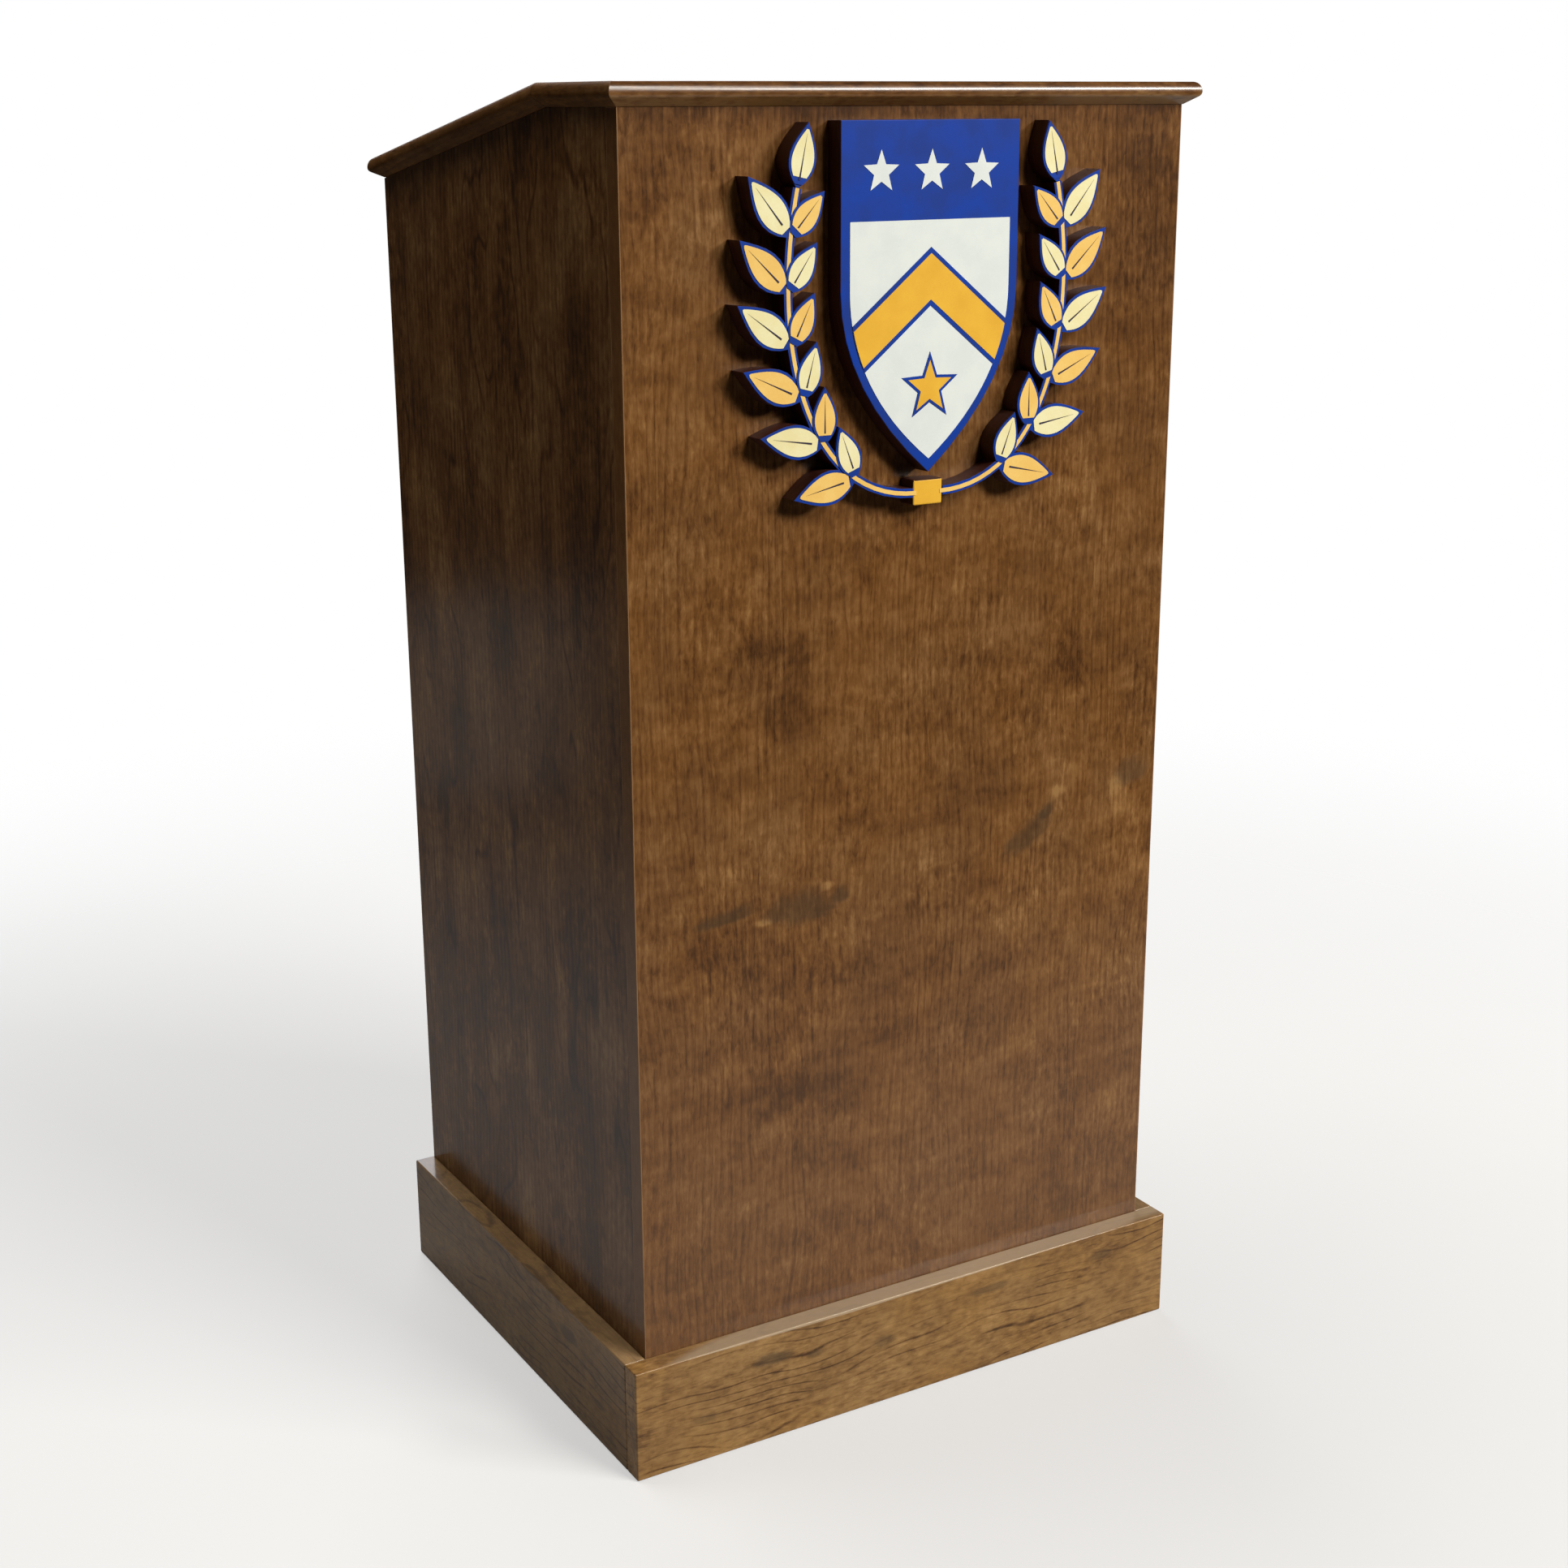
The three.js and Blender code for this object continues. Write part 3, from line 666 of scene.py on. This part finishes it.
def board_edge():
    """The dark stained edge of the emblem's board, with the faint lines of its layers."""
    shader = Shader("emblem edge")
    x, y, z = shader.split(shader.place())
    layers = shader.noise(shader.join(x, shader.math("MULTIPLY", y, 30), z), 30)
    speck = shader.noise(shader.place(), 700)
    tone = shader.total(shader.math("MULTIPLY", layers, 0.7), shader.math("MULTIPLY", speck, 0.3))
    stain = ((0.3, srgb(38, 14, 7)), (0.55, srgb(70, 28, 14)), (0.75, srgb(96, 44, 24)))
    shader.set(
        Base_Color=shader.ramp(tone, *stain),
        Roughness=0.5,
        Normal=shader.bump(tone, 0.1 * MM, 0.5),
    )
    return shader.material


def brass():
    """The screws' metal, with some tarnish."""
    shader = Shader("brass")
    tarnish = shader.noise(shader.place(), 400, detail=3)
    shader.set(
        Base_Color=shader.mix(shader.fade(tarnish, 0.4, 0.7), srgb(196, 160, 92), srgb(134, 100, 52)),
        Roughness=shader.fade(tarnish, 0.35, 0.7, 0.25, 0.5),
        Metallic=1.0,
    )
    return shader.material


# Pieces ------------------------------------------------------------------------------------------


def body_of(node):
    return SHELF_BODY if node.startswith("loose_shelf") else BODY


def place_piece(name, mesh, slot, body, *replaced):
    """Adds a finished mesh as a piece that rides on the body, and takes the place of CAD nodes."""
    piece = bpy.data.objects.new(name, mesh)
    bpy.context.scene.collection.objects.link(piece)
    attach(piece, body)
    if replaced:
        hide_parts(*replaced)
    return piece


def round_edges(piece, width):
    rounding = piece.modifiers.new("Eased edges", "BEVEL")
    rounding.width = width
    rounding.segments = 3
    rounding.limit_method = "ANGLE"
    rounding.angle_limit = math.radians(30)
    rounding.harden_normals = True


def eased(node, *materials, ease=0.8 * MM):
    """A board in place of its CAD node: the same shape in larger flat faces, with its sharp edges
    rounded off. A second material goes on the faces that look to the front."""
    shape = bmesh.new()
    shape.from_mesh(frame["nodes"][node].data)
    bmesh.ops.remove_doubles(shape, verts=shape.verts, dist=0.001 * MM)
    bmesh.ops.dissolve_limit(
        shape, angle_limit=math.radians(0.5), verts=shape.verts, edges=shape.edges
    )
    for face in shape.faces:
        face.smooth = True
        face.material_index = int(len(materials) > 1 and face.normal.y < -0.9)
    mesh = bpy.data.meshes.new("eased_" + node)
    shape.to_mesh(mesh)
    shape.free()
    mesh.attributes.remove(mesh.attributes["custom_normal"])  # it would hide the rounding
    for material in materials:
        mesh.materials.append(material)
    piece = place_piece("eased_" + node, mesh, SLOTS[node], body_of(node), node)
    round_edges(piece, ease)


def add_cabinet():
    eased("front_panel", front_veneer(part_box("front_panel")), ease=0.6 * MM)
    for number, side in enumerate(("left", "right")):
        veneer = side_veneer(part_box("side_panel_" + side), number * 4.0)
        eased("side_panel_" + side, veneer, ease=0.6 * MM)
        for place in ("front", "rear"):
            node = f"{place}_edge_band_{side}"
            eased(node, band_veneer(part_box(node), number), ease=0.3 * MM)
    boards = ("fixed_shelf", "bottom_panel", "loose_shelf", "top_rail", "kick_board")
    for number, node in enumerate(boards):
        eased(node, long_wood("inner veneer", "x", INSIDE, seed=2 + number))
    for number, node in enumerate(("fixed_shelf_lipping", "loose_shelf_lipping", "bottom_lipping")):
        eased(node, long_wood("lipping", "x", LIPPING, seed=number))


def add_plinth():
    for number, (node, grain) in enumerate((
        ("plinth_front", "x"),
        ("plinth_left", "y"),
        ("plinth_right", "y"),
    )):
        eased(node, plinth_timber(node, grain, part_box(node), number * 1.7), ease=1.5 * MM)


def add_tops():
    for seed, (node, grain, tilt) in enumerate((
        ("level_top", "x", 0),
        ("reading_desk", "x", 0),
        ("book_stop", "x", 0),
        ("desk_nosing_rear", "x", 0),
        ("desk_nosing_left", "y", SLOPE),
        ("desk_nosing_right", "y", SLOPE),
        ("level_nosing_left", "y", 0),
        ("level_nosing_right", "y", 0),
    )):
        # Painted shade: the nosings take darker copies of the panel's colours than the boards.
        shade = 0.8 if "nosing" in node else 0.95
        eased(node, long_wood(node, grain, PANEL, shade, seed, tilt), ease=0.3 * MM)
    front = "level_nosing_front"
    eased(front, front_nosing_timber(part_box(front)), ease=0.3 * MM)


def add_hidden_timber():
    """The cleats and battens as eased boards. The screws and dowels stay as the CAD has them."""
    metal = brass()
    beech = long_wood("beech", "x", SOFTWOOD)
    for node, piece in frame["nodes"].items():
        if "screw" in node:
            piece.material_slots[0].material = metal
        elif "dowel" in node:
            piece.material_slots[0].material = beech
        elif "cleat" in node or "batten" in node:
            grain = "x" if node == "level_cleat" else "y"
            eased(node, long_wood("softwood", grain, SOFTWOOD))


# Emblem. Its outlines are (x, z) points in millimetres, as the CAD has them -----------------------

SHIELD_HALF = 89
SHIELD_TOP = 1176
SHIELD_STRAIGHT = 1040
SHIELD_BELLY = 960
SHIELD_TIP = 886
FIELD_INSET = 9
FIELD_TOP = 1096
CHEVRON_FALL = 0.8  # millimetres down for each one sideways
STEM = [Vector(point) for point in ((12, 869), (112, 868), (160, 985), (130, 1124))]
LEAF_PAIRS = 6
FIRST_PAIR, LAST_PAIR = 0.2, 0.88  # shares of the stem

# Kinds of leaf: lean from the stem in radians, length and breadth
OUTER_LEAF = (-0.8, 62, 29)
INNER_LEAF = (0.62, 48, 25)
END_LEAF = (0, 52, 26)

# How far a leaf's paint is drawn in from the leaf's outline
BACKING_INSET = 0.4
PAINT_INSET = 2.6

# Layers of paint: foot and height in millimetres in front of the emblem's face
LOW_COAT = (-0.1, 0.4)
MIDDLE_COAT = (0.3, 0.7)
HIGH_COAT = (0.6, 1.0)
STEM_COAT = (-0.1, 0.35)
OUTER_COAT = (-0.1, 0.5)
OUTER_VEIN_COAT = (0.4, 0.65)
BACKING_COAT = (0.2, 0.8)
INNER_COAT = (0.7, 1.2)
INNER_VEIN_COAT = (1.1, 1.35)

EMBLEM_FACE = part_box("emblem_shield")[0].y


def curve_through(start, control, end, steps):
    """Points of a quadratic curve, without its first."""
    made = []
    for i in range(1, steps + 1):
        t = i / steps
        made.append((1 - t) ** 2 * start + 2 * t * (1 - t) * control + t * t * end)
    return made


def half_field(top):
    """The right half of the painted field's outline, from the given height down to the tip. The
    tip is sharp, so it lies further inside the shield's outline than the rest."""
    half = SHIELD_HALF - FIELD_INSET
    shoulder = Vector((half, SHIELD_STRAIGHT))
    belly = Vector((half, SHIELD_BELLY))
    tip = Vector((0, SHIELD_TIP + 1.3 * FIELD_INSET))
    return [Vector((half, top)), shoulder] + curve_through(shoulder, belly, tip, 16)


def flip(points):
    return [Vector((-point.x, point.y)) for point in points]


def mirrored(points):
    """A whole outline from the points of its right half. A point on the middle line isn't
    doubled."""
    off_middle = [point for point in reversed(points) if abs(point.x) > 1e-6]
    return points + flip(off_middle)


def chevron(top, bottom):
    """A band that falls to both sides inside the field's outline; top and bottom are its heights
    in the middle."""
    edge = half_field(SHIELD_TOP)

    def level_at(point):
        """The height in the middle of a line with the chevron's fall through the point."""
        return point.y + CHEVRON_FALL * point.x

    def crossing(level):
        for a, b in zip(edge, edge[1:]):
            high, low = level_at(a), level_at(b)
            if high >= level >= low:
                return a.lerp(b, (high - level) / (high - low))

    between = [point for point in edge if bottom < level_at(point) < top]
    half = [Vector((0, top)), crossing(top), *between, crossing(bottom), Vector((0, bottom))]
    return mirrored(half)


def star(centre, radius):
    points, waist = 5, 0.42
    made = []
    for i in range(2 * points):
        reach = radius * (waist if i % 2 else 1)
        angle = math.pi * i / points
        made.append(Vector((centre[0] + reach * math.sin(angle), centre[1] + reach * math.cos(angle))))
    return made


def stem_curve(t):
    """A point of the cubic curve through the stem's ends."""
    a, b, c, d = STEM
    s = 1 - t
    return s ** 3 * a + 3 * s * s * t * b + 3 * s * t * t * c + t ** 3 * d


def stem_points(steps):
    """Points evenly spaced along the stem."""
    fine = [stem_curve(i / steps) for i in range(steps + 1)]
    reach = [0.0]
    for a, b in zip(fine, fine[1:]):
        reach.append(reach[-1] + (b - a).length)
    made = []
    at = 0
    for i in range(steps + 1):
        goal = reach[-1] * i / steps
        while at < steps - 1 and reach[at + 1] < goal:
            at += 1
        made.append(fine[at].lerp(fine[at + 1], (goal - reach[at]) / (reach[at + 1] - reach[at])))
    return made


STEM_LINE = stem_points(200)


def on_stem(u):
    """The point and the direction at share u of the stem."""
    last = len(STEM_LINE) - 1
    i = min(int(u * last), last - 1)
    direction = (STEM_LINE[i + 1] - STEM_LINE[i]).normalized()
    return STEM_LINE[i].lerp(STEM_LINE[i + 1], u * last - i), direction


def square_to(direction):
    return Vector((-direction.y, direction.x))


def leaf_frame(u, lean):
    """A leaf's root at share u of the stem, and its directions along and across."""
    root, direction = on_stem(u)
    along = Matrix.Rotation(lean, 2) @ direction
    return root, along, square_to(along)


def leaf(u, kind, inset):
    """The outline of a leaf at share u of the stem, drawn in by inset all round. It is widest a
    little before its middle."""
    lean, length, breadth = kind
    root, along, across = leaf_frame(u, lean)
    steps = 18
    edges = {1: [], -1: []}
    for i in range(1, steps):
        t = i / steps
        half = breadth * math.sin(math.pi * t ** 0.8) / 2 - inset
        if half > 0.3 and t * length > 2.5 * inset:
            for side in edges:
                edges[side].append(root + t * length * along + side * half * across)
    tip = root + (length - 2.2 * inset) * along
    return edges[-1] + [tip] + edges[1][::-1]


def vein(u, kind, start, width):
    """A tapered line down the middle of a leaf, from share start of its length."""
    lean, length, _ = kind
    root, along, across = leaf_frame(u, lean)
    foot, tip = root + start * length * along, root + 0.82 * length * along
    return [foot - width / 2 * across, tip, foot + width / 2 * across]


def stem_outline(half):
    steps = 30
    edges = {1: [], -1: []}
    for i in range(steps + 1):
        point, direction = on_stem(i / steps)
        for side in edges:
            edges[side].append(point + side * half * square_to(direction))
    return edges[-1] + edges[1][::-1]


def raised(name, layers):
    """Thin closed slabs on the emblem's face as one piece. A layer is (outline, coat, material)."""
    shape = bmesh.new()
    materials = []
    for outline, (foot, height), material in layers:
        if material not in materials:
            materials.append(material)
        back, front = EMBLEM_FACE - foot * MM, EMBLEM_FACE - height * MM
        count = len(outline)
        rings = [
            [shape.verts.new((point.x * MM, y, point.y * MM)) for point in outline]
            for y in (back, front)
        ]
        made = [shape.faces.new(rings[0]), shape.faces.new(rings[1][::-1])]
        for i in range(count):
            j = (i + 1) % count
            made.append(shape.faces.new((rings[0][j], rings[0][i], rings[1][i], rings[1][j])))
        for face in made:
            face.material_index = materials.index(material)
    bmesh.ops.recalc_face_normals(shape, faces=shape.faces)
    mesh = bpy.data.meshes.new(name)
    shape.to_mesh(mesh)
    shape.free()
    for material in materials:
        mesh.materials.append(material)
    place_piece(name, mesh, "emblem_board", BODY)


def add_shield(edge, blue, white, amber):
    """The shield's board and its paint: a white field under three stars, with a chevron and a
    larger star on it."""
    eased("emblem_shield", edge, blue)
    field = mirrored(half_field(FIELD_TOP))
    raised("shield_field", [(field, LOW_COAT, white)])
    raised("shield_chevron", [
        (chevron(1074, 1026), MIDDLE_COAT, blue),
        (chevron(1069, 1031), HIGH_COAT, amber),
    ])
    stars = [star((x, 1135), 18) for x in (-50, 0, 50)]
    raised("shield_stars", [(points, LOW_COAT, white) for points in stars])
    lower = (0, 958)
    raised("shield_lower_star", [
        (star(lower, 30), MIDDLE_COAT, blue),
        (star(lower, 23), HIGH_COAT, amber),
    ])


def add_branch(side, edge, blue, cream, orange, line):
    """A branch's board and its painted leaves. The inner leaves lie over the outer ones."""
    turn = flip if side == "left" else list
    eased("laurel_" + side, edge, blue, ease=0.5 * MM)
    layers = [(turn(stem_outline(1.8)), STEM_COAT, orange)]
    veins = []
    for i in range(LEAF_PAIRS):
        u = FIRST_PAIR + (LAST_PAIR - FIRST_PAIR) * i / (LEAF_PAIRS - 1)
        outer, inner = (cream, orange) if i % 2 else (orange, cream)
        layers.append((turn(leaf(u, OUTER_LEAF, PAINT_INSET)), OUTER_COAT, outer))
        layers.append((turn(leaf(u, INNER_LEAF, BACKING_INSET)), BACKING_COAT, blue))
        layers.append((turn(leaf(u, INNER_LEAF, PAINT_INSET)), INNER_COAT, inner))
        veins.append((turn(vein(u, OUTER_LEAF, 0.2, 1.7)), OUTER_VEIN_COAT, line))
        veins.append((turn(vein(u, INNER_LEAF, 0.2, 1.5)), INNER_VEIN_COAT, line))
    layers.append((turn(leaf(1, END_LEAF, BACKING_INSET)), BACKING_COAT, blue))
    layers.append((turn(leaf(1, END_LEAF, PAINT_INSET)), INNER_COAT, cream))
    veins.append((turn(vein(1, END_LEAF, 0.12, 1.6)), INNER_VEIN_COAT, line))
    raised(f"laurel_{side}_paint", layers)
    raised(f"laurel_{side}_veins", veins)


def add_emblem():
    edge = board_edge()
    blue = paint("emblem blue", srgb(8, 60, 163), srgb(12, 52, 140))
    white = paint("emblem white", srgb(232, 238, 234), srgb(224, 231, 228))
    cream = paint("emblem cream", srgb(246, 240, 192), srgb(240, 228, 170))
    orange = paint("emblem orange", srgb(248, 208, 120), srgb(242, 196, 104))
    amber = paint("emblem amber", srgb(241, 188, 62), srgb(232, 176, 52))
    line = paint("emblem lines", srgb(58, 52, 70))
    add_shield(edge, blue, white, amber)
    for side in ("left", "right"):
        add_branch(side, edge, blue, cream, orange, line)
    eased("laurel_tie", edge, amber, ease=1.6 * MM)


add_camera()
add_studio()
add_floor()
add_cabinet()
add_plinth()
add_tops()
add_hidden_timber()
add_emblem()
